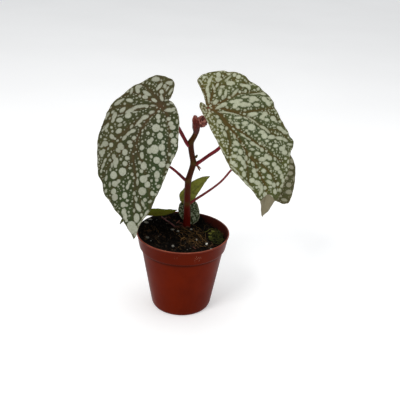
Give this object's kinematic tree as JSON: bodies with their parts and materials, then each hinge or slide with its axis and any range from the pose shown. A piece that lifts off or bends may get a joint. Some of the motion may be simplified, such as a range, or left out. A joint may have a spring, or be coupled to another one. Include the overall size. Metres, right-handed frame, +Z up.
{
  "type": "potted begonia",
  "caption": "Young spotted cane begonia with broad silver-spotted leaves on red stalks, growing in a round terracotta-coloured plastic nursery pot",
  "frame": {"origin": "centre of the pot's base, on the surface the pot stands on", "axes": "+Z up, -Y the front the picture looks at, +X to the right seen from the front"},
  "size_m": [0.1798, 0.0874, 0.215],
  "materials": {
    "pot_plastic": "satin",
    "soil": "rough, damp",
    "stem": "satin, fleshy",
    "petiole": "satin, fleshy",
    "spotted_leaf": "satin",
    "green_leaf": "satin",
    "bud": "matt, downy",
    "sheath": "satin",
    "dry_sheath": "matt",
    "moss": "matt"
  },
  "bodies": {
    "root": {"pot": "pot_plastic", "soil": "soil", "main_stem": "stem", "petiole_left": "petiole", "petiole_right": "petiole", "petiole_back_right": "petiole", "petiole_back_left": "petiole", "petiole_young": "petiole", "petiole_small": "petiole", "petiole_low": "petiole", "leaf_left": "spotted_leaf", "leaf_right": "spotted_leaf", "leaf_back_right": "spotted_leaf", "leaf_back_left": "spotted_leaf", "leaf_small": "spotted_leaf", "leaf_young": "green_leaf", "leaf_low": "green_leaf", "bud_leaf": "bud", "bud_stipule": "sheath", "bud_stipule_front": "sheath", "dry_stipule": "dry_sheath", "side_bud": "green_leaf", "moss_clump": "moss"}
  },
  "joints": []
}
